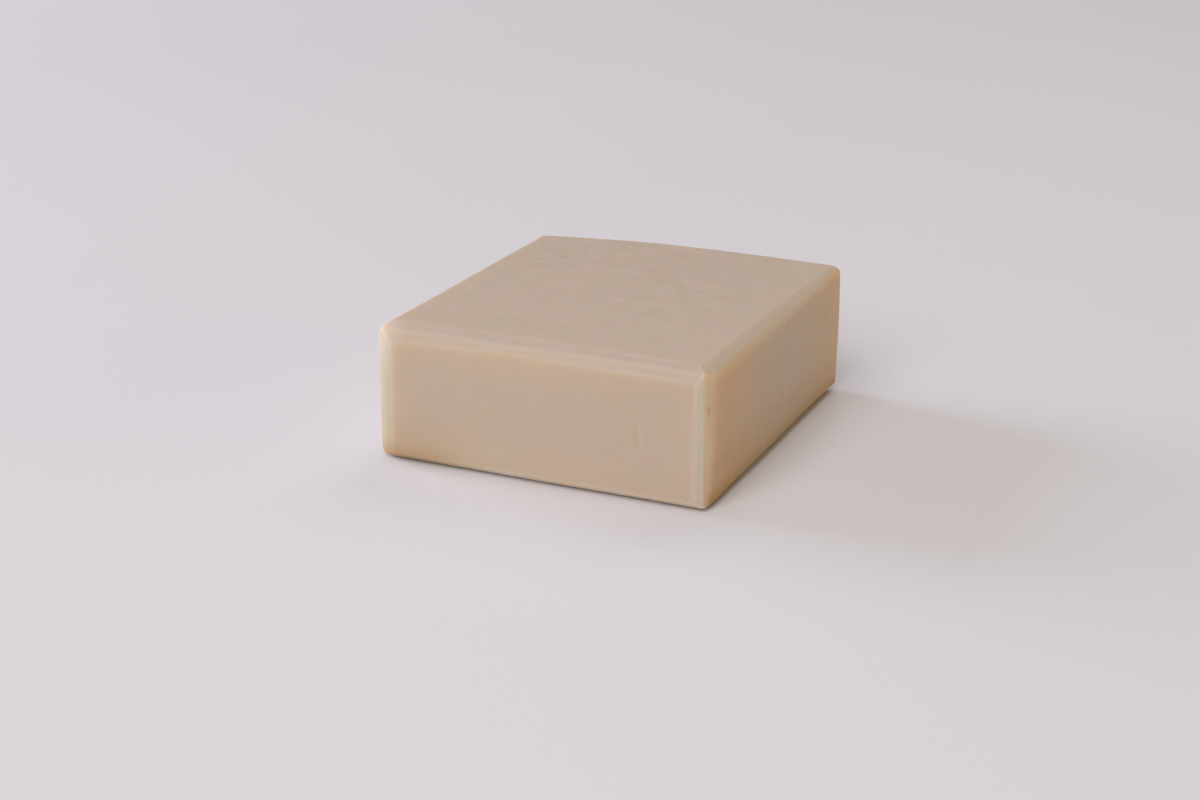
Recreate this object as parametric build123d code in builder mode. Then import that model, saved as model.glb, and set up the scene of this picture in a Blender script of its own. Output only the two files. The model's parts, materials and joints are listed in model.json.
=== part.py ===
from build123d import *
from math import sqrt
import os

# A hand-cut bar of soap, one solid block that lies flat.
# Origin: the middle of the face it lies on. X runs left to right across the
# front, Y from the front to the back, Z up. Every size is in millimetres.

# Overall sizes, over the fullest part of each side.
bar_width = 70.0  # left to right, along X
bar_depth = 76.5  # front to back, along Y
bar_height = 28.5  # from the face it lies on to the top of its crown

# The loaf was cut with a wire, so no side is quite flat: the middle of each
# stands proud of its two corners.
front_bow = 0.3  # front and back sides
side_bow = 0.3  # left and right sides

# The top is a shallow barrel, highest along its middle and lower at both sides.
crown_rise = 0.5

# Bevels, planed off by hand after the cut. Each leg is measured from the edge
# that the bevel took away.
upright_bevel = 2.8  # down the four upright corners, on both sides of the edge
top_bevel = 2.9  # round the top, inwards and down alike
base_bevel_inset = 2.1  # round the base, in under the bar
base_bevel_rise = 1.5  # round the base, up the side

# Handling has rounded the ridges that border the bevels.
ridge_radius = 0.45

half_width = bar_width / 2
half_depth = bar_depth / 2

# Corners of the cut block, before the bows are added.
corner_x = half_width - side_bow
corner_y = half_depth - front_bow

# Seen from the front, the crown is part of a very large circle.
crown_radius = (half_width**2 + crown_rise**2) / (2 * crown_rise)
crown_centre_z = bar_height - crown_radius

# The height of the crown's edge, above the left and right sides.
shoulder_height = bar_height - crown_rise

UP = Vector(0, 0, 1)

with BuildPart() as soap_bar:
    # The block as it was cut: four sides, each a long shallow arc in plan.
    with BuildSketch(Plane.XY):
        with BuildLine():
            ThreePointArc((-corner_x, -corner_y), (0, -half_depth), (corner_x, -corner_y))
            ThreePointArc((corner_x, -corner_y), (half_width, 0), (corner_x, corner_y))
            ThreePointArc((corner_x, corner_y), (0, half_depth), (-corner_x, corner_y))
            ThreePointArc((-corner_x, corner_y), (-half_width, 0), (-corner_x, -corner_y))
        make_face()
    extrude(amount=bar_height)

    # The crown trims the top of the block.
    with BuildSketch(Plane.XZ):
        with Locations((0, crown_centre_z)):
            Circle(crown_radius)
    extrude(amount=half_depth, both=True, mode=Mode.INTERSECT)

    # Front and back top bevels follow the crown: its circle, lowered to the
    # bevel's lower ridge, slides inwards and up at 45 degrees.
    for inward_y in (-1, 1):
        with BuildSketch(Plane.XZ.offset(inward_y * half_depth)):
            with Locations((0, crown_centre_z - top_bevel)):
                Circle(crown_radius)
        extrude(amount=bar_depth * sqrt(2), dir=(0, inward_y, 1), mode=Mode.INTERSECT)

    # Left and right top bevels, at 45 degrees.
    for outward in (Vector(-1, 0, 0), Vector(1, 0, 0)):
        ridge = outward * half_width + UP * (shoulder_height - top_bevel)
        split(bisect_by=Plane(origin=ridge, z_dir=outward + UP), keep=Keep.BOTTOM)

    # Upright corners. Each cut takes the same leg off both sides that meet there.
    for facing_x in (-1, 1):
        for facing_y in (-1, 1):
            ridge = (facing_x * (corner_x - upright_bevel), facing_y * corner_y, 0)
            split(bisect_by=Plane(origin=ridge, z_dir=(facing_x, facing_y, 0)), keep=Keep.BOTTOM)

    # Handling has rounded every ridge so far. The edges of the underside wait for their bevel.
    underside = soap_bar.faces().sort_by(Axis.Z)[0]
    ridges = soap_bar.edges() - underside.edges()
    fillet(ridges, radius=ridge_radius)

    # Round the base the bevel lies flatter, where the weight of the bar has let it settle.
    for outward, reach in (
        (Vector(0, -1, 0), half_depth),
        (Vector(0, 1, 0), half_depth),
        (Vector(-1, 0, 0), half_width),
        (Vector(1, 0, 0), half_width),
    ):
        ridge = outward * reach + UP * base_bevel_rise
        downward = outward * base_bevel_rise - UP * base_bevel_inset
        split(bisect_by=Plane(origin=ridge, z_dir=downward), keep=Keep.BOTTOM)

soap_bar.part.label = "soap_bar"

os.makedirs("parts", exist_ok=True)
export_step(soap_bar.part, "parts/soap_bar.step")
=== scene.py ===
# %% [markdown]
# # A hand-cut bar of soap
#
# The bar is one block of cured soap. A bar like this is cut from a loaf with
# a wire, and its edges are planed off by hand. There is only one piece, so all
# of its character is in three things: sides that are not quite flat, bevels
# that are not quite even, and a waxy skin that lets a little light in.
#
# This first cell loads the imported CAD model, which fixes where the bar lies
# and how large it may be. Lengths are in metres from here on.

# %% Load the fixed frame
import json
import math

import bpy
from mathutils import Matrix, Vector

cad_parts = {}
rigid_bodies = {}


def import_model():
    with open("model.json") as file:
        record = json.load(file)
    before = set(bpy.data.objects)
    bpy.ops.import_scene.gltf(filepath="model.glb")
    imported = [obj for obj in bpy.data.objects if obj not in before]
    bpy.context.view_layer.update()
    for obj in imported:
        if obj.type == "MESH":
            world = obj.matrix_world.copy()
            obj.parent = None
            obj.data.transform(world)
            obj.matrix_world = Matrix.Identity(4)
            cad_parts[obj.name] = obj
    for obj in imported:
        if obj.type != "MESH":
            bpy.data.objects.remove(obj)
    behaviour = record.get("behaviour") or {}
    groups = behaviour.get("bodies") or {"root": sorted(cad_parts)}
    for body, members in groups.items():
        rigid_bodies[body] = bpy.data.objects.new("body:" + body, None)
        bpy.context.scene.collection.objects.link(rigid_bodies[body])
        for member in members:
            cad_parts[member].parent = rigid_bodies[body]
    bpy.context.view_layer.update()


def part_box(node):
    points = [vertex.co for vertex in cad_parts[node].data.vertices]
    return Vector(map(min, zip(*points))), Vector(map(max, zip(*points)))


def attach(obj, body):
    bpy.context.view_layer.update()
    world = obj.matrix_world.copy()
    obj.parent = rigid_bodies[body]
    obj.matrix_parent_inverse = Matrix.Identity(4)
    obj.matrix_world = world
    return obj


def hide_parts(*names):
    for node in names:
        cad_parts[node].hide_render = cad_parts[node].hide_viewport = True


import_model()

bar_low, bar_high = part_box("soap_bar")
bar_size = bar_high - bar_low
half_width, half_depth = bar_size.x / 2, bar_size.y / 2
MM = 0.001
print("bar, in mm:", [round(side / MM, 2) for side in bar_size])

# %% [markdown]
# ## Small helpers for node trees
#
# Every shape and finish below is a tree of nodes that the script wires up. Wiring by
# hand is wordy, so these helpers each add one node and hand back its output.
# A value may be a plain number, which is set on the socket, or another node's
# output, which is linked to it.

# %% Helpers that add and wire nodes
def feed(tree, socket, value):
    """Link a socket to another node's output, or set it to a constant."""
    if isinstance(value, bpy.types.NodeSocket):
        tree.links.new(value, socket)
    else:
        socket.default_value = value


def add_node(tree, kind, settings=None, **inputs):
    """Add one node. Input names are written with underscores in place of spaces."""
    made = tree.nodes.new(kind)
    for name, value in (settings or {}).items():
        setattr(made, name, value)
    for name, value in inputs.items():
        feed(tree, made.inputs[name.replace("_", " ")], value)
    return made


def maths(tree, operation, *values):
    """Arithmetic on single numbers."""
    made = tree.nodes.new("ShaderNodeMath")
    made.operation = operation
    for socket, value in zip(made.inputs, values):
        feed(tree, socket, value)
    return made.outputs["Value"]


def vector_maths(tree, operation, *values):
    """Arithmetic on vectors. A dot product or a length comes back as one number."""
    made = tree.nodes.new("ShaderNodeVectorMath")
    made.operation = operation
    sockets = [made.inputs[0], made.inputs["Scale"]] if operation == "SCALE" else made.inputs
    for socket, value in zip(sockets, values):
        feed(tree, socket, value)
    one_number = operation in ("DOT_PRODUCT", "LENGTH", "DISTANCE")
    return made.outputs["Value" if one_number else "Vector"]


def combine(tree, x, y, z):
    """One vector from three numbers."""
    return add_node(tree, "ShaderNodeCombineXYZ", X=x, Y=y, Z=z).outputs["Vector"]


def separate(tree, vector):
    """The three numbers of one vector."""
    return add_node(tree, "ShaderNodeSeparateXYZ", Vector=vector).outputs


def ramp(tree, value, start, end, to_start=0.0, to_end=1.0):
    """Fade smoothly from one number to another as a value goes from start to end."""
    made = add_node(tree, "ShaderNodeMapRange", {"interpolation_type": "SMOOTHSTEP"})
    for name, number in (("Value", value), ("From Min", start), ("From Max", end)):
        feed(tree, made.inputs[name], number)
    feed(tree, made.inputs["To Min"], to_start)
    feed(tree, made.inputs["To Max"], to_end)
    return made.outputs["Result"]


def new_group(name, kind, inputs, outputs):
    """An empty node group with named sockets, and its two end nodes."""
    tree = bpy.data.node_groups.new(name, kind)
    for label, socket_type, default in inputs:
        socket = tree.interface.new_socket(label, in_out="INPUT", socket_type=socket_type)
        if default is not None:
            socket.default_value = default
    for label, socket_type in outputs:
        tree.interface.new_socket(label, in_out="OUTPUT", socket_type=socket_type)
    return tree, tree.nodes.new("NodeGroupInput").outputs, tree.nodes.new("NodeGroupOutput").inputs


# %% [markdown]
# ## One stroke of the planer
#
# On a hand-finished bar each edge is taken off with a few strokes of a planer.
# A stroke removes all that stands above a flat cut, and that is easy to say in
# nodes: measure how far a point lies above the cut, and press it down by that
# much. Two things keep it from looking machined. The cut wanders a little
# along its way, and the press is softened, so that the ridge where the cut
# runs out is rounded as soap is.
#
# A cut is told by its leg: how far in from the block's sharp edge it starts on
# the face that it leaves. No hand keeps that even over a whole edge, so each
# stroke has three legs, at its start, its middle and its end, and the cut runs
# through them in a gentle curve.
#
# A stroke also leaves its mark, which the finish needs later. Where it cuts, the
# soap takes on that stroke's tint, and any earlier tint there is gone; the tints
# are partly painted light and shade. Where it runs out there is a thin ridge,
# which the finish paints paler as a painted highlight.

# %% The planer stroke, as a node group
stroke_tree, given, result = new_group(
    "Planer Stroke",
    "GeometryNodeTree",
    [
        ("Position", "NodeSocketVector", None),
        ("Tint", "NodeSocketVector", None),
        ("Ridge", "NodeSocketFloat", 0.0),
        ("Edge", "NodeSocketVector", None),
        ("Facing", "NodeSocketVector", None),
        ("Along", "NodeSocketVector", None),
        ("Legs", "NodeSocketVector", None),
        ("Steepness", "NodeSocketFloat", 0.5),
        ("Wander", "NodeSocketFloat", 0.2 * MM),
        ("Softness", "NodeSocketFloat", 0.2 * MM),
        ("Own Tint", "NodeSocketVector", None),
        ("Seed", "NodeSocketFloat", 0.0),
    ],
    [("Position", "NodeSocketVector"), ("Tint", "NodeSocketVector"), ("Ridge", "NodeSocketFloat")],
)
WANDER_LENGTH = 22 * MM

from_edge = vector_maths(stroke_tree, "SUBTRACT", given["Position"], given["Edge"])
height_over_edge = vector_maths(stroke_tree, "DOT_PRODUCT", from_edge, given["Facing"])
share_along = vector_maths(stroke_tree, "DOT_PRODUCT", given["Position"], given["Along"])

# The curve through the three legs: the middle one, plus a slope, plus a bulge.
leg_start, leg_middle, leg_end = separate(stroke_tree, given["Legs"])
slope = maths(stroke_tree, "MULTIPLY", maths(stroke_tree, "SUBTRACT", leg_end, leg_start), 0.5)
mean_of_ends = maths(stroke_tree, "MULTIPLY", maths(stroke_tree, "ADD", leg_end, leg_start), 0.5)
bulge = maths(stroke_tree, "SUBTRACT", mean_of_ends, leg_middle)
leg = maths(stroke_tree, "MULTIPLY_ADD", share_along, slope, leg_middle)
share_squared = maths(stroke_tree, "MULTIPLY", share_along, share_along)
leg = maths(stroke_tree, "MULTIPLY_ADD", share_squared, bulge, leg)
bite = maths(stroke_tree, "MULTIPLY", leg, given["Steepness"])
slow_noise = add_node(
    stroke_tree,
    "ShaderNodeTexNoise",
    {"noise_dimensions": "4D"},
    Vector=given["Position"],
    W=given["Seed"],
    Scale=1 / WANDER_LENGTH,
    Detail=1.0,
)
off_course = maths(stroke_tree, "SUBTRACT", slow_noise.outputs[0], 0.5)
wandered = maths(stroke_tree, "MULTIPLY_ADD", off_course, given["Wander"], bite)
above_cut = maths(stroke_tree, "ADD", height_over_edge, wandered)

# A softened "larger of this and nothing": half of the height and its own rounded size.
above_squared = maths(stroke_tree, "MULTIPLY", above_cut, above_cut)
soft_squared = maths(stroke_tree, "MULTIPLY", given["Softness"], given["Softness"])
rounded = maths(stroke_tree, "SQRT", maths(stroke_tree, "ADD", above_squared, soft_squared))
press = maths(stroke_tree, "MULTIPLY", maths(stroke_tree, "ADD", above_cut, rounded), 0.5)
pressed_by = vector_maths(stroke_tree, "SCALE", given["Facing"], press)
planed = vector_maths(stroke_tree, "SUBTRACT", given["Position"], pressed_by)
feed(stroke_tree, result["Position"], planed)

# The marks: this stroke's tint where it cut, and a thin line where it ran out, which the finish paints as a
# highlight.
RIDGE_REACH = 0.35 * MM
TINT_STARTS, TINT_FULL = -0.35 * MM, 0.25 * MM
is_cut = ramp(stroke_tree, above_cut, TINT_STARTS, TINT_FULL)
uncut = maths(stroke_tree, "SUBTRACT", 1.0, is_cut)
kept_tint = vector_maths(stroke_tree, "SCALE", given["Tint"], uncut)
new_tint = vector_maths(stroke_tree, "SCALE", given["Own Tint"], is_cut)
feed(stroke_tree, result["Tint"], vector_maths(stroke_tree, "ADD", kept_tint, new_tint))
share_of_reach = maths(stroke_tree, "DIVIDE", above_cut, RIDGE_REACH)
squared = maths(stroke_tree, "MULTIPLY", share_of_reach, share_of_reach)
own_ridge = maths(stroke_tree, "EXPONENT", maths(stroke_tree, "MULTIPLY", squared, -1.0))
kept_ridge = maths(stroke_tree, "MULTIPLY", given["Ridge"], uncut)
feed(stroke_tree, result["Ridge"], maths(stroke_tree, "MAXIMUM", kept_ridge, own_ridge))
print("planer stroke:", len(stroke_tree.nodes), "nodes")

# %% [markdown]
# ## Rows of points where they are needed
#
# The bar starts as a box with evenly spaced rows of points. The faces are
# calm and the ridges are not, so this group moves rows towards the edges: a
# share of the rows covers the calm middle, and the rest crowd into the last
# few millimetres. It works on one direction at a time.

# %% The row-gathering group
gather_tree, given, result = new_group(
    "Gather Rows",
    "GeometryNodeTree",
    [
        ("Coordinate", "NodeSocketFloat", 0.0),
        ("Half Size", "NodeSocketFloat", 1.0),
        ("Edge Zone", "NodeSocketFloat", 5 * MM),
        ("Middle Share", "NodeSocketFloat", 0.7),
    ],
    [("Coordinate", "NodeSocketFloat")],
)
row = maths(gather_tree, "DIVIDE", maths(gather_tree, "ABSOLUTE", given["Coordinate"]), given["Half Size"])
middle = maths(gather_tree, "SUBTRACT", given["Half Size"], given["Edge Zone"])


def linear_range(tree, value, start, end, to_end):
    """An even ramp from nothing to to_end, held at both ends."""
    made = add_node(tree, "ShaderNodeMapRange")
    for name, number in (("Value", value), ("From Min", start), ("From Max", end), ("To Max", to_end)):
        feed(tree, made.inputs[name], number)
    return made.outputs["Result"]


calm_part = linear_range(gather_tree, row, 0.0, given["Middle Share"], middle)
edge_part = linear_range(gather_tree, row, given["Middle Share"], 1.0, given["Edge Zone"])
distance_out = maths(gather_tree, "ADD", calm_part, edge_part)
which_side = maths(gather_tree, "SIGN", given["Coordinate"])
feed(gather_tree, result["Coordinate"], maths(gather_tree, "MULTIPLY", distance_out, which_side))
print("row gathering:", len(gather_tree.nodes), "nodes")

# %% [markdown]
# ## A small dent
#
# Soap marks easily. A dent is a soft hollow about one point: points near it
# move inwards, most at its middle. The reach is given for each direction, so
# that a dent may be a scratch as well as a dimple. A dent that points outwards
# is a swelling.

# %% The dent group
dent_tree, given, result = new_group(
    "Dent",
    "GeometryNodeTree",
    [
        ("Position", "NodeSocketVector", None),
        ("Centre", "NodeSocketVector", None),
        ("Reach", "NodeSocketVector", None),
        ("Inward", "NodeSocketVector", None),
        ("Depth", "NodeSocketFloat", 0.2 * MM),
    ],
    [("Position", "NodeSocketVector")],
)
offset = vector_maths(dent_tree, "SUBTRACT", given["Position"], given["Centre"])
share_of_reach = vector_maths(dent_tree, "DIVIDE", offset, given["Reach"])
share_squared = vector_maths(dent_tree, "DOT_PRODUCT", share_of_reach, share_of_reach)
falloff = maths(dent_tree, "EXPONENT", maths(dent_tree, "MULTIPLY", share_squared, -1.0))
sink = maths(dent_tree, "MULTIPLY", falloff, given["Depth"])
moved_by = vector_maths(dent_tree, "SCALE", given["Inward"], sink)
feed(dent_tree, result["Position"], vector_maths(dent_tree, "ADD", given["Position"], moved_by))
print("dent:", len(dent_tree.nodes), "nodes")

# %% [markdown]
# ## The bar: cut, plane, settle
#
# The tree follows the maker. A block is cut with a wire, which leaves its
# sides slightly wavy. Then each of the twelve edges gets two strokes of the
# planer, one a little flatter and one a little steeper, which gives the bevels
# a faint ridge down their middle. Last, the bar settles: its top crowns and its
# sides bow a little.
#
# The strokes are listed once, edge by edge, because no two bevels are alike.
# The front left one is wide and flat, and the back right one is hardly there.

# %% The twelve edges and their bevels
LEFT, RIGHT = Vector((-1, 0, 0)), Vector((1, 0, 0))
FRONT, BACK = Vector((0, -1, 0)), Vector((0, 1, 0))
UP, DOWN = Vector((0, 0, 1)), Vector((0, 0, -1))

# Each edge lies between two faces. Its first stroke leaves the first face at
# this angle in degrees, with its legs there in millimetres. The second stroke
# does the same at the second face, its angle counted from the first face too.
# Last comes the tint that the stroke leaves, which multiplies the soap's colour.
# The tints are paint. Each is partly its facet's own shade and partly painted light
# and shade: how bright, pale or tan the facet looks in the light that falls on it,
# such as a pale sheen or warm light. LIT stands for light that the ground throws
# up on the foot of the front.
PLAIN = (0.95, 0.97, 0.97)
DULL = (0.90, 0.94, 1.01)
CREAMY = (0.93, 1.03, 1.03)
FAIR = (1.02, 1.08, 1.04)
PALE = (1.00, 1.08, 1.13)
COOL = (0.96, 1.10, 1.23)
LIT = (1.25, 1.22, 1.2)
WARM = (1.17, 1.23, 1.15)
YELLOWISH = (0.92, 0.99, 0.93)
EDGES = [
    (FRONT, UP, 32, (3.15, 2.75, 2.65), DULL, 58, (3.15, 2.75, 2.65), DULL),
    (BACK, UP, 32, (2.9, 1.9, 1.4), PLAIN, 58, (2.9, 1.9, 1.4), PLAIN),
    (LEFT, UP, 32, (2.4, 2.7, 1.0), CREAMY, 58, (2.4, 2.8, 1.2), CREAMY),
    (RIGHT, UP, 32, (2.7, 2.3, 1.4), FAIR, 58, (3.0, 2.6, 1.5), PALE),
    (FRONT, LEFT, 25, (3.9, 4.0, 4.0), YELLOWISH, 38, (2.2, 2.4, 2.7), CREAMY),
    (FRONT, RIGHT, 32, (2.6, 2.6, 2.65), COOL, 72, (4.4, 4.7, 5.0), WARM),
    (BACK, LEFT, 32, (3.0, 3.1, 3.4), CREAMY, 58, (3.0, 3.1, 3.4), PLAIN),
    (BACK, RIGHT, 35, (0.6, 0.5, 0.5), PLAIN, 55, (0.6, 0.5, 0.5), PLAIN),
    (FRONT, DOWN, 47, (2.1, 2.0, 1.9), LIT, 60, (2.9, 2.8, 2.8), LIT),
    (BACK, DOWN, 47, (1.7, 1.6, 1.5), PLAIN, 60, (2.3, 2.2, 2.0), PLAIN),
    (LEFT, DOWN, 47, (1.7, 1.8, 1.9), PLAIN, 60, (2.2, 2.3, 2.2), PLAIN),
    (RIGHT, DOWN, 47, (1.5, 2.1, 1.8), PLAIN, 60, (1.8, 2.2, 2.0), PLAIN),
]

# Rows of points: how far apart, in the calm middle and near the edges.
CALM_STEP, FINE_STEP, EDGE_ZONE = 0.58 * MM, 0.3 * MM, 5.2 * MM
rows, middle_share = [], []
for side in bar_size:
    calm_rows = round((side - 2 * EDGE_ZONE) / CALM_STEP)
    fine_rows = 2 * round(EDGE_ZONE / FINE_STEP)
    rows.append(calm_rows + fine_rows + 1)
    middle_share.append(calm_rows / (calm_rows + fine_rows))
print("rows of points:", rows, "share in the middle:", [round(s, 2) for s in middle_share])

# %% Build the tree: the cut block
bar_tree, given, result = new_group(
    "Soap Bar",
    "GeometryNodeTree",
    [
        ("Size", "NodeSocketVector", None),
        ("Middle Share", "NodeSocketVector", None),
        ("Rows X", "NodeSocketInt", 10),
        ("Rows Y", "NodeSocketInt", 10),
        ("Rows Z", "NodeSocketInt", 10),
        ("Edge Zone", "NodeSocketFloat", 5 * MM),
        ("Wire Wave", "NodeSocketFloat", 0.2 * MM),
        ("Bevel Scale", "NodeSocketFloat", 1.0),
        ("Wander", "NodeSocketFloat", 0.2 * MM),
        ("Ridge Softness", "NodeSocketFloat", 0.2 * MM),
        ("Crown Rise", "NodeSocketFloat", 0.5 * MM),
        ("Side Bow", "NodeSocketFloat", 0.3 * MM),
        ("Sag", "NodeSocketFloat", 0.3 * MM),
        ("Seed", "NodeSocketFloat", 0.0),
        ("Material", "NodeSocketMaterial", None),
    ],
    [("Geometry", "NodeSocketGeometry")],
)
box = add_node(
    bar_tree,
    "GeometryNodeMeshCube",
    Size=given["Size"],
    Vertices_X=given["Rows X"],
    Vertices_Y=given["Rows Y"],
    Vertices_Z=given["Rows Z"],
)
half_size = vector_maths(bar_tree, "SCALE", given["Size"], 0.5)
half_parts = separate(bar_tree, half_size)
share_parts = separate(bar_tree, given["Middle Share"])
place = bar_tree.nodes.new("GeometryNodeInputPosition").outputs["Position"]
place_parts = separate(bar_tree, place)
gathered = []
for axis in range(3):
    gather = add_node(
        bar_tree,
        "GeometryNodeGroup",
        {"node_tree": gather_tree},
        Coordinate=place_parts[axis],
        Half_Size=half_parts[axis],
        Edge_Zone=given["Edge Zone"],
        Middle_Share=share_parts[axis],
    )
    gathered.append(gather.outputs["Coordinate"])
block = combine(bar_tree, *gathered)

# Long shallow waves in every face, as a wire leaves them.
WAVE_LENGTH = 24 * MM
wave_noise = add_node(
    bar_tree,
    "ShaderNodeTexNoise",
    {"noise_dimensions": "4D"},
    Vector=block,
    W=given["Seed"],
    Scale=1 / WAVE_LENGTH,
    Detail=1.0,
)
wave = vector_maths(bar_tree, "SUBTRACT", wave_noise.outputs["Color"], (0.5, 0.5, 0.5))
wave = vector_maths(bar_tree, "SCALE", wave, given["Wire Wave"])
cut_block = vector_maths(bar_tree, "ADD", block, wave)
print("cut block wired,", len(bar_tree.nodes), "nodes so far")

# %% Build the tree: two strokes of the planer on every edge
SEED_PER_EDGE, SEED_PER_STROKE = 7.3, 0.4
shaped, tint_mark, ridge_mark = cut_block, (1.0, 1.0, 1.0), 0.0
for number, (first, second, *both) in enumerate(EDGES):
    edge = vector_maths(bar_tree, "MULTIPLY", half_size, tuple(first + second))
    run = first.cross(second)
    along = vector_maths(bar_tree, "DIVIDE", tuple(map(abs, run)), half_size)
    for step, (angle, legs, tint) in enumerate((both[:3], both[3:])):
        lean = math.radians(angle)
        facing = first * math.cos(lean) + second * math.sin(lean)
        # A leg is measured along the face, the cut's depth across it.
        steepness = math.sin(lean) if step == 0 else math.cos(lean)
        scaled_legs = vector_maths(bar_tree, "SCALE", tuple(Vector(legs) * MM), given["Bevel Scale"])
        stroke = add_node(
            bar_tree,
            "GeometryNodeGroup",
            {"node_tree": stroke_tree, "label": f"edge {number + 1}, stroke {step + 1}"},
            Position=shaped,
            Tint=tint_mark,
            Ridge=ridge_mark,
            Edge=edge,
            Facing=tuple(facing),
            Along=along,
            Legs=scaled_legs,
            Steepness=steepness,
            Wander=given["Wander"],
            Softness=given["Ridge Softness"],
            Own_Tint=tint,
            Seed=maths(bar_tree, "ADD", given["Seed"], SEED_PER_EDGE * number + SEED_PER_STROKE * step),
        )
        shaped, tint_mark, ridge_mark = stroke.outputs
print(2 * len(EDGES), "strokes wired")

# %% Build the tree: settling, dents and the finished mesh
share_out = vector_maths(bar_tree, "DIVIDE", shaped, half_size)
share_x, share_y, share_z = separate(bar_tree, share_out)
height_share = maths(bar_tree, "MULTIPLY_ADD", share_z, 0.5, 0.5)
across = maths(bar_tree, "MULTIPLY", share_x, share_x)
back_and_forth = maths(bar_tree, "MULTIPLY", share_y, share_y)

# The corners draw in where the sides bow, the sides drop where the top crowns.
bow_x = maths(bar_tree, "MULTIPLY", maths(bar_tree, "MULTIPLY", share_x, back_and_forth), given["Side Bow"])
bow_y = maths(bar_tree, "MULTIPLY", maths(bar_tree, "MULTIPLY", share_y, across), given["Side Bow"])
drop = maths(bar_tree, "MULTIPLY", maths(bar_tree, "MULTIPLY", across, height_share), given["Crown Rise"])
bowed = vector_maths(bar_tree, "SUBTRACT", shaped, combine(bar_tree, bow_x, bow_y, drop))

# Slow, uneven settling. Its upright part fades out towards the face that the bar lies on.
SAG_LENGTH, SAG_SEED = 38 * MM, 3.0
sag_noise = add_node(
    bar_tree,
    "ShaderNodeTexNoise",
    {"noise_dimensions": "4D"},
    Vector=shaped,
    W=maths(bar_tree, "ADD", given["Seed"], SAG_SEED),
    Scale=1 / SAG_LENGTH,
    Detail=0.0,
)
sag = vector_maths(bar_tree, "SUBTRACT", sag_noise.outputs["Color"], (0.5, 0.5, 0.5))
sag = vector_maths(bar_tree, "SCALE", sag, given["Sag"])
sag = vector_maths(bar_tree, "MULTIPLY", sag, combine(bar_tree, 1.0, 1.0, height_share))
settled = vector_maths(bar_tree, "ADD", bowed, sag)

# The box was centred on its middle: stand it on the ground.
standing = vector_maths(bar_tree, "ADD", settled, combine(bar_tree, 0.0, 0.0, half_parts[2]))

# Centre, reach, inward direction and depth of each dent, in millimetres but for the direction.
# The last two are broad: the back left corner sinks, and the right side swells near the back.
inward_bevel = (FRONT + UP).normalized() * -1
DENTS = [
    ((20.6, -38.2, 13.9), (0.5, 1.5, 1.4), BACK, 0.5),
    ((21.0, -38.2, 11.6), (0.5, 1.5, 0.8), BACK, 0.35),
    ((20.2, -38.2, 17.5), (0.45, 1.5, 1.6), BACK, 0.14),
    ((18.8, -36.2, 27.7), (0.7, 0.6, 0.6), inward_bevel, 0.22),
    ((-22.0, -38.2, 8.5), (2.2, 1.5, 1.4), BACK, 0.1),
    ((5.5, -38.2, 20.5), (1.6, 1.5, 2.4), BACK, 0.08),
    ((34.8, -25.6, 15.0), (1.5, 0.6, 5.0), LEFT, 0.09),
    ((34.8, -23.0, 13.5), (1.5, 0.7, 6.0), LEFT, 0.14),
    ((34.8, -20.4, 14.5), (1.5, 0.6, 5.0), LEFT, 0.12),
    ((-12.0, 8.0, 28.2), (3.2, 2.0, 1.5), DOWN, 0.07),
    ((14.0, 21.0, 28.2), (2.2, 3.4, 1.5), DOWN, 0.06),
    ((-35.0, 10.0, 17.0), (1.5, 2.6, 3.0), RIGHT, 0.09),
    ((8.0, 38.2, 12.0), (2.6, 1.5, 2.0), FRONT, 0.09),
    ((-19.0, 38.2, 18.0), (0.6, 1.5, 1.8), FRONT, 0.16),
    ((-35.0, 38.0, 28.5), (16.0, 16.0, 22.0), DOWN, 0.45),
    ((35.0, 38.0, 16.0), (6.0, 14.0, 15.0), RIGHT, 0.38),
]
marked = standing
for centre, reach, inward, depth in DENTS:
    dent = add_node(
        bar_tree,
        "GeometryNodeGroup",
        {"node_tree": dent_tree},
        Position=marked,
        Centre=tuple(Vector(centre) * MM),
        Reach=tuple(Vector(reach) * MM),
        Inward=tuple(inward),
        Depth=depth * MM,
    )
    marked = dent.outputs["Position"]

# Whatever would reach below the ground is pressed flat against it.
marked_x, marked_y, marked_z = separate(bar_tree, marked)
marked = combine(bar_tree, marked_x, marked_y, maths(bar_tree, "MAXIMUM", marked_z, 0.0))

# The planer's marks are stored while every point still stands in the box.
marked_mesh = box.outputs["Mesh"]
for name, kind, mark in (("tint", "FLOAT_VECTOR", tint_mark), ("ridge", "FLOAT", ridge_mark)):
    store = add_node(
        bar_tree,
        "GeometryNodeStoreNamedAttribute",
        {"data_type": kind, "domain": "POINT"},
        Geometry=marked_mesh,
        Name=name,
        Value=mark,
    )
    marked_mesh = store.outputs["Geometry"]
shape = add_node(bar_tree, "GeometryNodeSetPosition", Geometry=marked_mesh, Position=marked)
smooth = add_node(bar_tree, "GeometryNodeSetShadeSmooth", Geometry=shape.outputs["Geometry"])
real = add_node(bar_tree, "GeometryNodeRealizeInstances", Geometry=smooth.outputs["Geometry"])
finish = add_node(
    bar_tree,
    "GeometryNodeSetMaterial",
    Geometry=real.outputs["Geometry"],
    Material=given["Material"],
)
feed(bar_tree, result["Geometry"], finish.outputs["Geometry"])
print("soap bar tree:", len(bar_tree.nodes), "nodes")

# %% [markdown]
# ## Finishes shared by more than one material
#
# Soap and floor both need soft clouding and a fine tooth, only at other
# scales and strengths. So each of these two effects is a shader group, built
# once. Neither group holds a shader: a group gives a mask or a normal, and
# the material decides what to do with it.

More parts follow.
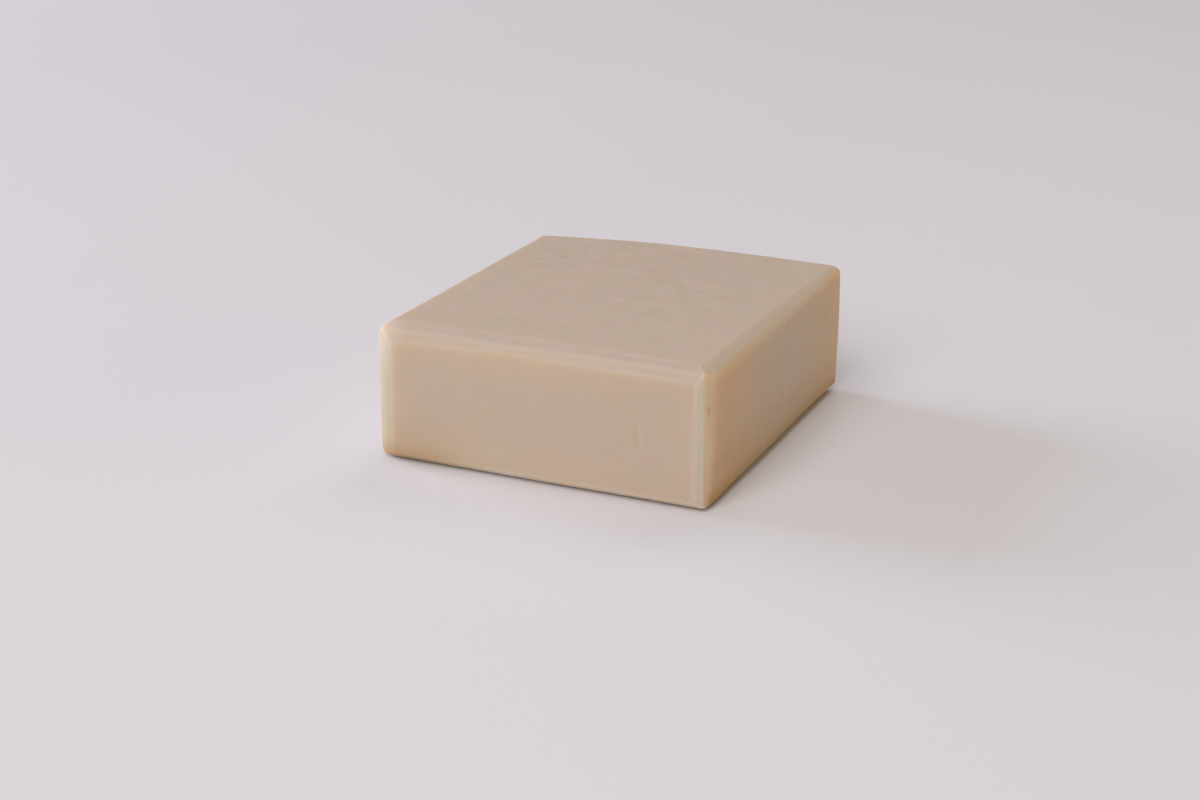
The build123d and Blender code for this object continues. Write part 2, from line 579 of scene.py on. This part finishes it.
# %% Clouding: a soft mask that wanders between nothing and one
cloud_tree, given, result = new_group(
    "Clouding",
    "ShaderNodeTree",
    [
        ("Vector", "NodeSocketVector", None),
        ("Patch Size", "NodeSocketFloat", 10 * MM),
        ("Detail", "NodeSocketFloat", 3.0),
        ("Low", "NodeSocketFloat", 0.35),
        ("High", "NodeSocketFloat", 0.65),
    ],
    [("Mask", "NodeSocketFloat")],
)
patches = add_node(
    cloud_tree,
    "ShaderNodeTexNoise",
    Vector=given["Vector"],
    Scale=maths(cloud_tree, "DIVIDE", 1.0, given["Patch Size"]),
    Detail=given["Detail"],
)
feed(cloud_tree, result["Mask"], ramp(cloud_tree, patches.outputs[0], given["Low"], given["High"]))

# %% Tooth: the fine unevenness of a surface, as a normal
tooth_tree, given, result = new_group(
    "Tooth",
    "ShaderNodeTree",
    [
        ("Vector", "NodeSocketVector", None),
        ("Grain Size", "NodeSocketFloat", 1 * MM),
        ("Height", "NodeSocketFloat", 0.02 * MM),
        ("Normal", "NodeSocketVector", None),
    ],
    [("Normal", "NodeSocketVector")],
)
grain = add_node(
    tooth_tree,
    "ShaderNodeTexNoise",
    Vector=given["Vector"],
    Scale=maths(tooth_tree, "DIVIDE", 1.0, given["Grain Size"]),
    Detail=4.0,
    Roughness=0.55,
)
bump = add_node(
    tooth_tree, "ShaderNodeBump", Height=grain.outputs[0], Distance=given["Height"], Normal=given["Normal"]
)
feed(tooth_tree, result["Normal"], bump.outputs["Normal"])
print("clouding and tooth groups built")


def group_node(tree, group, **inputs):
    """Place a shader group in a material."""
    return add_node(tree, "ShaderNodeGroup", {"node_tree": group}, **inputs)


# %% [markdown]
# ## Soap
#
# Cured soap is a dense wax-like solid. Its colour is a warm cream with faint
# pink clouds, painted more yellow near the edges for light that glows through
# them. Each planed facet has a tint of its own, partly painted light and shade,
# and the thin ridges between them are painted paler, as highlights.
#
# Light goes a few millimetres into soap, and subsurface scattering gives that
# depth. The yellow bands, the warm right side, the tan foot, the cooler top and
# the tints of the facets are painted into the base colour instead. That keeps
# them in any light, so they are painted light: glow near the edges, warm light on
# the right side and the foot, cool light on the top, and light and shade on the facets.

# %% Mixing colours
def mixed(tree, share, first, second, blend="MIX"):
    """Mix two colours by a share between nothing and one."""
    made = add_node(tree, "ShaderNodeMix", {"data_type": "RGBA", "blend_type": blend})
    feed(tree, made.inputs[0], share)
    feed(tree, made.inputs[6], first)
    feed(tree, made.inputs[7], second)
    return made.outputs[2]


# %% Where on the bar a point is: its distance from the nearest edge
soap = bpy.data.materials.new("cured_soap")
soap.use_nodes = True
tree = soap.node_tree
surface = tree.nodes["Principled BSDF"]
on_bar = tree.nodes.new("ShaderNodeTexCoord").outputs["Object"]
x, y, z = separate(tree, on_bar)
from_side = maths(tree, "SUBTRACT", half_width, maths(tree, "ABSOLUTE", x))
from_front = maths(tree, "SUBTRACT", half_depth, maths(tree, "ABSOLUTE", y))
from_top = maths(tree, "MINIMUM", z, maths(tree, "SUBTRACT", bar_size.z, z))

# A point on the surface is close to one face already. The middle one of its
# three distances is how far it lies from the edge with the next face.
nearer = maths(tree, "MINIMUM", from_side, from_front)
farther = maths(tree, "MAXIMUM", from_side, from_front)
edge_distance = maths(tree, "MAXIMUM", nearer, maths(tree, "MINIMUM", farther, from_top))

# %% Colour
CREAM = (0.580, 0.475, 0.370, 1)
PINK_CREAM = (0.590, 0.470, 0.377, 1)
EDGE_GLOW_CREAM = (0.615, 0.49, 0.365, 1)
WARM_CREAM = (0.71, 0.47, 0.26, 1)
PALE_CREAM = (0.58, 0.50, 0.41, 1)
HIGHLIGHT_CREAM = (0.66, 0.59, 0.50, 1)
STREAK_TAN = (0.50, 0.36, 0.24, 1)
TAN = (0.41, 0.235, 0.07, 1)
SCAR_YELLOW = (0.62, 0.52, 0.31, 1)
RUST = (0.50, 0.16, 0.06, 1)

LARGE_PATCH, SMALL_PATCH = 16 * MM, 3.5 * MM
MOTTLE_STRENGTH = 0.22


def patches_on_bar(patch_size, detail, low, high):
    """A clouding mask over the bar."""
    group = group_node(
        tree, cloud_tree, Vector=on_bar, Patch_Size=patch_size, Detail=detail, Low=low, High=high
    )
    return group.outputs["Mask"]


large_patches = patches_on_bar(LARGE_PATCH, 2.0, 0.35, 0.65)
small_patches = patches_on_bar(SMALL_PATCH, 3.0, 0.3, 0.7)
colour = mixed(tree, large_patches, CREAM, PINK_CREAM)
mottle = ramp(tree, small_patches, 0.0, 1.0, 0.0, MOTTLE_STRENGTH)
colour = mixed(tree, mottle, colour, PALE_CREAM)

# Painted light: a yellow band for the glow of light that comes through the soap
# near an edge. It is full up to 3 mm from an edge and gone 11 mm in. It is
# fainter towards the right, at the foot and most of all on top.
GLOW_FULL, GLOW_GONE = 3 * MM, 11 * MM
GLOW_ON_TOP, GLOW_AT_RIGHT, GLOW_AT_FOOT = 0.2, 0.35, 0.4
below_top = maths(tree, "SUBTRACT", bar_size.z, z)
on_top = ramp(tree, below_top, 2.5 * MM, 0.3 * MM)
glow = ramp(tree, edge_distance, GLOW_GONE, GLOW_FULL)
glow = maths(tree, "MULTIPLY", glow, ramp(tree, on_top, 0.0, 1.0, 1.0, GLOW_ON_TOP))
glow = maths(tree, "MULTIPLY", glow, ramp(tree, x, 0.0, 32 * MM, 1.0, GLOW_AT_RIGHT))
glow = maths(tree, "MULTIPLY", glow, ramp(tree, z, 1 * MM, 7 * MM, GLOW_AT_FOOT, 1.0))
colour = mixed(tree, glow, colour, EDGE_GLOW_CREAM)

# Painted light and shade: the top is painted a shade cooler, for the cool light that falls on it from
# above, and darker towards the back.
TOP_NEAR, TOP_FAR = (1.0, 1.01, 1.05, 1), (0.95, 0.965, 1.005, 1)
top_tint = mixed(tree, ramp(tree, y, -half_depth, half_depth), TOP_NEAR, TOP_FAR)
colour = mixed(tree, on_top, colour, mixed(tree, 1.0, colour, top_tint, "MULTIPLY"))

# The planer's marks: each stroke's tint, partly painted light and shade, and ridges painted pale as
# highlights, which fade out on the top.
RIDGE_STRENGTH = 0.22
tint_mark = add_node(tree, "ShaderNodeAttribute", {"attribute_name": "tint"}).outputs["Color"]
colour = mixed(tree, 1.0, colour, tint_mark, "MULTIPLY")
ridge_mark = add_node(tree, "ShaderNodeAttribute", {"attribute_name": "ridge"}).outputs["Fac"]
ridge_mark = maths(tree, "MULTIPLY", ridge_mark, ramp(tree, below_top, 0.5 * MM, 1.2 * MM))
colour = mixed(tree, maths(tree, "MULTIPLY", ridge_mark, RIDGE_STRENGTH), colour, HIGHLIGHT_CREAM)

# Painted light: the right side is painted warmer, for warm light that reaches it through the soap and from
# below, most of all near its two upright edges.
near_warmth = ramp(tree, y, 4 * MM, -36 * MM, 0.0, 0.7)
far_warmth = ramp(tree, y, 8 * MM, 38 * MM, 0.0, 0.55)
warmth = maths(tree, "MAXIMUM", near_warmth, far_warmth)
on_right = ramp(tree, x, half_width - 0.8 * MM, half_width - 0.3 * MM)
colour = mixed(tree, maths(tree, "MULTIPLY", warmth, on_right), colour, WARM_CREAM)

# Fine upright lines down the four sides, as a wire draws them: noise that is
# stretched along Z. On the right side some of them show as tan streaks.
LINE_WIDTH, LINE_SQUEEZE = 0.9 * MM, (1.0, 1.0, 0.03)
STREAK_STRENGTH = 0.2
stretched = vector_maths(tree, "MULTIPLY", on_bar, LINE_SQUEEZE)
line_noise = add_node(tree, "ShaderNodeTexNoise", Vector=stretched, Scale=1 / LINE_WIDTH, Detail=2.0)
wire_lines = line_noise.outputs[0]
near_front = ramp(tree, y, -8 * MM, -24 * MM, 0.25, 1.0)
streaky = maths(tree, "MULTIPLY", ramp(tree, x, 32 * MM, 34 * MM), near_front)
streaks = maths(tree, "MULTIPLY", ramp(tree, wire_lines, 0.5, 0.72, 0.0, STREAK_STRENGTH), streaky)
colour = mixed(tree, streaks, colour, STREAK_TAN)

# The foot is tan, most on the right side and at the left corner: a broad faint
# band and a narrow strong one. The paint stands for brown light that a wooden
# dish would throw up on the bar, as no dish is built here.
TAN_HEIGHT, FOOT_HEIGHT = 14 * MM, 5.5 * MM
BROAD_TAN, NARROW_TAN = 0.22, 0.68
broad_band = ramp(tree, z, TAN_HEIGHT, 4 * MM, 0.0, BROAD_TAN)
narrow_band = ramp(tree, z, FOOT_HEIGHT, 0.0, 0.0, NARROW_TAN)
bands = maths(tree, "ADD", broad_band, narrow_band)
at_right = ramp(tree, x, 33.4 * MM, 34.7 * MM, 0.05, 1.2)
at_left = ramp(tree, x, -6 * MM, -28 * MM, 0.0, 0.85)
tanned = maths(tree, "MULTIPLY", bands, maths(tree, "MAXIMUM", at_right, at_left))
colour = mixed(tree, tanned, colour, TAN)


def spot(centre, reach):
    """A soft mask about one point on the bar, its centre and its reach each way in millimetres."""
    offset = vector_maths(tree, "SUBTRACT", on_bar, tuple(Vector(centre) * MM))
    share_of_reach = vector_maths(tree, "DIVIDE", offset, tuple(Vector(reach) * MM))
    return ramp(tree, vector_maths(tree, "LENGTH", share_of_reach), 1.0, 0.2)


# One pale corner, which is a painted highlight where the window light falls, one rust
# coloured speck and the yellow scars of the nick on the front. Each has its centre and
# reach in millimetres, its strength and its colour.
SPOTS = [
    ((-34.0, -37.0, 27.0), (7, 7, 11), 0.7, HIGHLIGHT_CREAM),
    ((34.2, -36.0, 19.9), (0.8, 0.8, 1.3), 0.4, RUST),
    ((20.5, -38.2, 14.6), (0.8, 2, 1.9), 0.6, SCAR_YELLOW),
    ((21.1, -38.2, 12.0), (1.1, 2, 1.8), 0.6, SCAR_YELLOW),
    ((20.2, -38.2, 17.8), (0.5, 2, 1.6), 0.35, SCAR_YELLOW),
]
for centre, reach, strength, shade in SPOTS:
    colour = mixed(tree, maths(tree, "MULTIPLY", spot(centre, reach), strength), colour, shade)
feed(tree, surface.inputs["Base Color"], colour)
print("soap colour wired")

# %% Sheen, depth and the marks of the wire
SCATTER_DEPTH = 6.0 * MM
LEAST_ROUGH, MOST_ROUGH = 0.46, 0.56
LINE_HEIGHT = 0.035 * MM
surface.inputs["Subsurface Weight"].default_value = 1.0
surface.inputs["Subsurface Radius"].default_value = (1.0, 0.5, 0.25)
surface.inputs["Subsurface Scale"].default_value = SCATTER_DEPTH
surface.inputs["IOR"].default_value = 1.46
roughness = ramp(tree, small_patches, 0.0, 1.0, LEAST_ROUGH, MOST_ROUGH)
feed(tree, surface.inputs["Roughness"], roughness)

# The upright lines are a little raised too. They fade towards the top and the
# foot. Soft dimples and then a fine tooth are added to them.
on_side = ramp(tree, from_top, 1 * MM, 4 * MM)
line_share = maths(tree, "MULTIPLY", wire_lines, on_side)
lines = add_node(tree, "ShaderNodeBump", Height=line_share, Distance=LINE_HEIGHT)
normal = lines.outputs["Normal"]
for grain_size, grain_height in ((4 * MM, 0.10 * MM), (0.5 * MM, 0.008 * MM)):
    layer = group_node(
        tree, tooth_tree, Vector=on_bar, Grain_Size=grain_size, Height=grain_height, Normal=normal
    )
    normal = layer.outputs["Normal"]
feed(tree, surface.inputs["Normal"], normal)
print("soap finish wired:", len(tree.nodes), "nodes")

# %% [markdown]
# ## Make the bar
#
# The tree is put on an empty mesh as a modifier, and its inputs are set
# through each socket's identifier. The result is then read back as a plain
# mesh, and the modifier is thrown away: what is left is an ordinary piece with
# its place in its points.

# %% Run the tree and keep its mesh
BAR_INPUTS = {
    "Size": tuple(bar_size),
    "Middle Share": tuple(middle_share),
    "Rows X": rows[0],
    "Rows Y": rows[1],
    "Rows Z": rows[2],
    "Edge Zone": EDGE_ZONE,
    "Wire Wave": 0.3 * MM,
    "Bevel Scale": 1.0,
    "Wander": 0.4 * MM,
    "Ridge Softness": 0.18 * MM,
    "Crown Rise": 0.5 * MM,
    "Side Bow": 0.12 * MM,
    "Sag": 0.4 * MM,
    "Seed": 4.0,
    "Material": soap,
}
holder = bpy.data.objects.new("holder", bpy.data.meshes.new("holder"))
bpy.context.scene.collection.objects.link(holder)
modifier = holder.modifiers.new("cut and plane", "NODES")
modifier.node_group = bar_tree
identifiers = {s.name: s.identifier for s in bar_tree.interface.items_tree if s.in_out == "INPUT"}
for name, value in BAR_INPUTS.items():
    modifier[identifiers[name]] = value

evaluated = holder.evaluated_get(bpy.context.evaluated_depsgraph_get())
bar_mesh = bpy.data.meshes.new_from_object(evaluated)
bpy.data.objects.remove(holder)
bar_mesh.name = "soap_body"
body = bpy.data.objects.new("soap_body", bar_mesh)
bpy.context.scene.collection.objects.link(body)
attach(body, "root")
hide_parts("soap_bar")
triangles = sum(len(face.vertices) - 2 for face in bar_mesh.polygons)
print("soap body:", len(bar_mesh.vertices), "points,", triangles, "triangles")

# %% [markdown]
# ## Floor, light and camera
#
# The bar stands alone on a plain pale floor that runs out of the view. The
# light is like that of a pale room with one big window. The window is low on the
# left, so the left bevels are brightest. A broad fill from the front and above
# makes the front and the top about as bright as each other. A weak one from
# behind lifts the back of the top, and a small warm one keeps the right side
# from going grey in its shade.
#
# The places of the lights are given one by one. Their powers and tints, and those
# of the room, were worked out by a separate program from renders with one light
# lit at a time, because light simply adds up, and were then rounded.

# %% Floor
floor_mesh = bpy.data.meshes.new("floor")
FLOOR_REACH = 3.0
corners = [(-1, -1), (1, -1), (1, 1), (-1, 1)]
floor_mesh.from_pydata([(x * FLOOR_REACH, y * FLOOR_REACH, 0.0) for x, y in corners], [], [(0, 1, 2, 3)])
floor = bpy.data.objects.new("floor", floor_mesh)
bpy.context.scene.collection.objects.link(floor)

floor_paint = bpy.data.materials.new("pale_floor")
floor_paint.use_nodes = True
tree = floor_paint.node_tree
surface = tree.nodes["Principled BSDF"]
on_floor = tree.nodes.new("ShaderNodeTexCoord").outputs["Object"]
faint = group_node(tree, cloud_tree, Vector=on_floor, Patch_Size=0.25, Detail=2.0, Low=0.3, High=0.7)
FLOOR_DARKER, FLOOR_PALER = (0.775, 0.77, 0.82, 1), (0.79, 0.785, 0.835, 1)
floor_colour = mixed(tree, faint.outputs["Mask"], FLOOR_DARKER, FLOOR_PALER)
feed(tree, surface.inputs["Base Color"], floor_colour)
surface.inputs["Roughness"].default_value = 0.7
surface.inputs["Specular IOR Level"].default_value = 0.2
floor_tooth = group_node(tree, tooth_tree, Vector=on_floor, Grain_Size=2 * MM, Height=0.01 * MM)
feed(tree, surface.inputs["Normal"], floor_tooth.outputs["Normal"])
floor_mesh.materials.append(floor_paint)

# %% Light
room = bpy.data.worlds.new("pale room")
room.use_nodes = True
background = room.node_tree.nodes["Background"]
background.inputs["Color"].default_value = (1.0, 0.77, 0.57, 1)
background.inputs["Strength"].default_value = 0.26
bpy.context.scene.world = room


def direction(azimuth, elevation):
    """The way out from the bar. Azimuth 0 is in front of it, and 90 is to its right."""
    turn, rise = math.radians(azimuth), math.radians(elevation)
    return Vector((math.sin(turn) * math.cos(rise), -math.cos(turn) * math.cos(rise), math.sin(rise)))


def soft_light(name, azimuth, elevation, distance, size, power, tint):
    """A square light that looks at the middle of the bar's foot, with its power in watts."""
    away = direction(azimuth, elevation)
    data = bpy.data.lights.new(name, "AREA")
    data.size = size
    data.energy = power
    data.color = tint
    lamp = bpy.data.objects.new(name, data)
    lamp.location = away * distance
    lamp.rotation_euler = away.to_track_quat("Z", "Y").to_euler()
    lamp.visible_camera = False
    bpy.context.scene.collection.objects.link(lamp)


soft_light("window", -95, 16, 2.2, 1.1, 32.0, (0.78, 0.83, 1.0))
soft_light("front fill", 0, 42, 2.2, 1.6, 32.0, (0.96, 0.98, 1.0))
soft_light("warm fill", 95, 12, 1.6, 0.6, 1.6, (1.0, 0.68, 0.0))
soft_light("back fill", 180, 50, 2.2, 1.2, 7.0, (0.92, 0.95, 1.0))

# %% Camera
VIEW_AZIMUTH, VIEW_ELEVATION, VIEW_DISTANCE = 24.2, 20.0, 0.415
LENS = 60.96
aim = Vector((-2.0, -4.0, 6.0)) * MM
away = direction(VIEW_AZIMUTH, VIEW_ELEVATION)
camera_data = bpy.data.cameras.new("camera")
camera_data.lens = LENS
camera_data.sensor_width = 36.0
camera_data.clip_start = 0.01
camera = bpy.data.objects.new("camera", camera_data)
camera.location = aim + away * VIEW_DISTANCE
camera.rotation_euler = away.to_track_quat("Z", "Y").to_euler()
bpy.context.scene.collection.objects.link(camera)
bpy.context.scene.camera = camera
bpy.context.scene.view_settings.view_transform = "Standard"
print("camera at", [round(c, 4) for c in camera.location])
